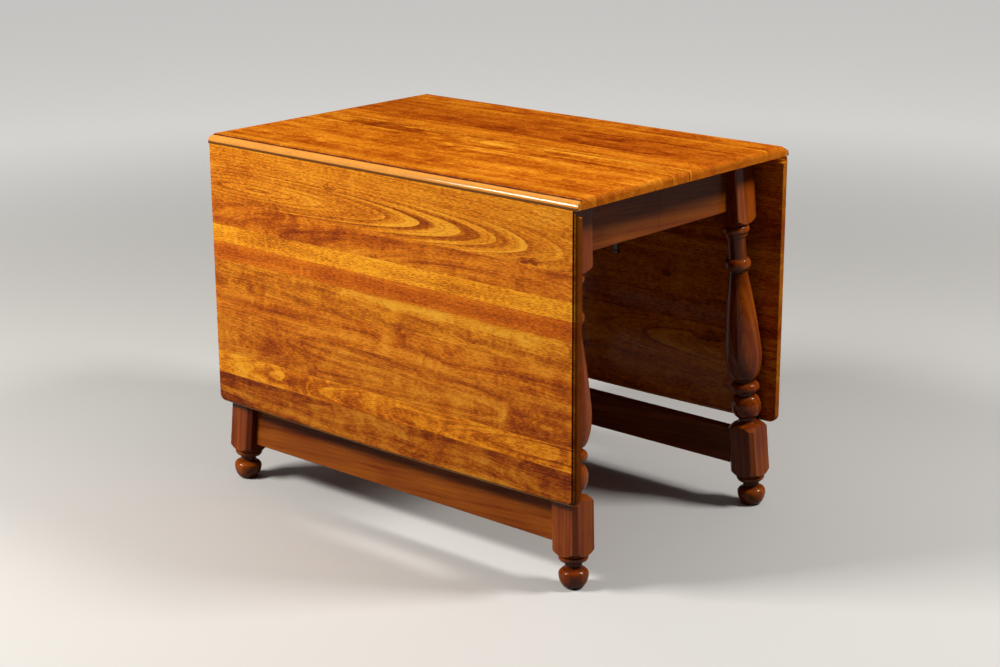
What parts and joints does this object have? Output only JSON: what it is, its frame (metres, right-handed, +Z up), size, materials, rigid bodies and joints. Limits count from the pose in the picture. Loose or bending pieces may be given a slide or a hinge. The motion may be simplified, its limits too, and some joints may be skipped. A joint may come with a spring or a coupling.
{
  "type": "drop-leaf table",
  "caption": "Drop-leaf dining table: hinged leaves on rule joints, splayed turned legs with low side stretchers, and a top that parts at a centre seam on wooden extension slides.",
  "frame": {"origin": "on the floor, under the middle of the closed top", "axes": "+X along the hinge lines, +Y from the front half to the rear half, +Z up"},
  "size_m": [1, 0.674, 0.762],
  "materials": {
    "board_wood": "satin clear lacquer on amber stained boards",
    "turned_wood": "satin lacquer on red brown turned wood",
    "frame_wood": "satin lacquer on brown wood",
    "inner_wood": "plain planed wood",
    "hinge_steel": "dull dark steel"
  },
  "bodies": {
    "rear_half": {"rear_corner_brace_left": "inner_wood", "rear_corner_brace_right": "inner_wood", "rear_end_apron_left": "frame_wood", "rear_end_apron_right": "frame_wood", "rear_hinge_left_pin": "hinge_steel", "rear_hinge_left_top_flap": "hinge_steel", "rear_hinge_middle_pin": "hinge_steel", "rear_hinge_middle_top_flap": "hinge_steel", "rear_hinge_right_pin": "hinge_steel", "rear_hinge_right_top_flap": "hinge_steel", "rear_leg_left": "turned_wood", "rear_leg_right": "turned_wood", "rear_side_apron": "frame_wood", "rear_slide_rail_left": "inner_wood", "rear_slide_rail_right": "inner_wood", "rear_stay_bracket_left": "hinge_steel", "rear_stay_bracket_right": "hinge_steel", "rear_stretcher": "frame_wood", "rear_top": "board_wood"},
    "rear_leaf": {"rear_hinge_left_leaf_flap": "hinge_steel", "rear_hinge_middle_leaf_flap": "hinge_steel", "rear_hinge_right_leaf_flap": "hinge_steel", "rear_leaf": "board_wood"},
    "rear_stay_right": {"rear_stay_arm_right": "hinge_steel"},
    "rear_stay_left": {"rear_stay_arm_left": "hinge_steel"},
    "middle_rails": {"middle_slide_rail_left": "inner_wood", "middle_slide_rail_right": "inner_wood", "slide_tie_bar": "inner_wood"},
    "front_half": {"front_corner_brace_left": "inner_wood", "front_corner_brace_right": "inner_wood", "front_end_apron_left": "frame_wood", "front_end_apron_right": "frame_wood", "front_hinge_left_pin": "hinge_steel", "front_hinge_left_top_flap": "hinge_steel", "front_hinge_middle_pin": "hinge_steel", "front_hinge_middle_top_flap": "hinge_steel", "front_hinge_right_pin": "hinge_steel", "front_hinge_right_top_flap": "hinge_steel", "front_leg_left": "turned_wood", "front_leg_right": "turned_wood", "front_side_apron": "frame_wood", "front_slide_rail_left": "inner_wood", "front_slide_rail_right": "inner_wood", "front_stay_bracket_left": "hinge_steel", "front_stay_bracket_right": "hinge_steel", "front_stretcher": "frame_wood", "front_top": "board_wood", "seam_dowel_1": "inner_wood", "seam_dowel_2": "inner_wood", "seam_dowel_3": "inner_wood"},
    "front_leaf": {"front_hinge_left_leaf_flap": "hinge_steel", "front_hinge_middle_leaf_flap": "hinge_steel", "front_hinge_right_leaf_flap": "hinge_steel", "front_leaf": "board_wood"},
    "front_stay_right": {"front_stay_arm_right": "hinge_steel"},
    "front_stay_left": {"front_stay_arm_left": "hinge_steel"}
  },
  "joints": [
    {"name": "rear_leaf_hinge", "type": "hinge", "parent": "rear_half", "child": "rear_leaf", "pos_m": [0, 0.319, 0.744], "axis": [1, 0, 0], "range_deg": [0, 90]},
    {"name": "rear_stay_pivot_right", "type": "hinge", "parent": "rear_half", "child": "rear_stay_right", "pos_m": [0.1, 0.28353, 0.7], "axis": [1, 0, 0], "range_deg": [0, 100]},
    {"name": "rear_stay_pivot_left", "type": "hinge", "parent": "rear_half", "child": "rear_stay_left", "pos_m": [-0.1, 0.28353, 0.7], "axis": [1, 0, 0], "range_deg": [0, 100]},
    {"name": "front_leaf_hinge", "type": "hinge", "parent": "front_half", "child": "front_leaf", "pos_m": [0, -0.319, 0.744], "axis": [-1, 0, 0], "range_deg": [0, 90]},
    {"name": "front_stay_pivot_right", "type": "hinge", "parent": "front_half", "child": "front_stay_right", "pos_m": [0.1, -0.28353, 0.7], "axis": [-1, 0, 0], "range_deg": [0, 100]},
    {"name": "front_stay_pivot_left", "type": "hinge", "parent": "front_half", "child": "front_stay_left", "pos_m": [-0.1, -0.28353, 0.7], "axis": [-1, 0, 0], "range_deg": [0, 100]},
    {"name": "middle_rails_slide", "type": "slide", "parent": "rear_half", "child": "middle_rails", "axis": [0, -1, 0], "range_m": [0, 0.3]},
    {"name": "front_half_slide", "type": "slide", "parent": "middle_rails", "child": "front_half", "axis": [0, -1, 0], "range_m": [0, 0.3]}
  ],
  "couplings": [
    {"joint": "rear_stay_pivot_right", "follows": "rear_leaf_hinge", "ratio": 1.1097},
    {"joint": "rear_stay_pivot_left", "follows": "rear_leaf_hinge", "ratio": 1.1097},
    {"joint": "front_stay_pivot_right", "follows": "front_leaf_hinge", "ratio": 1.1097},
    {"joint": "front_stay_pivot_left", "follows": "front_leaf_hinge", "ratio": 1.1097}
  ]
}
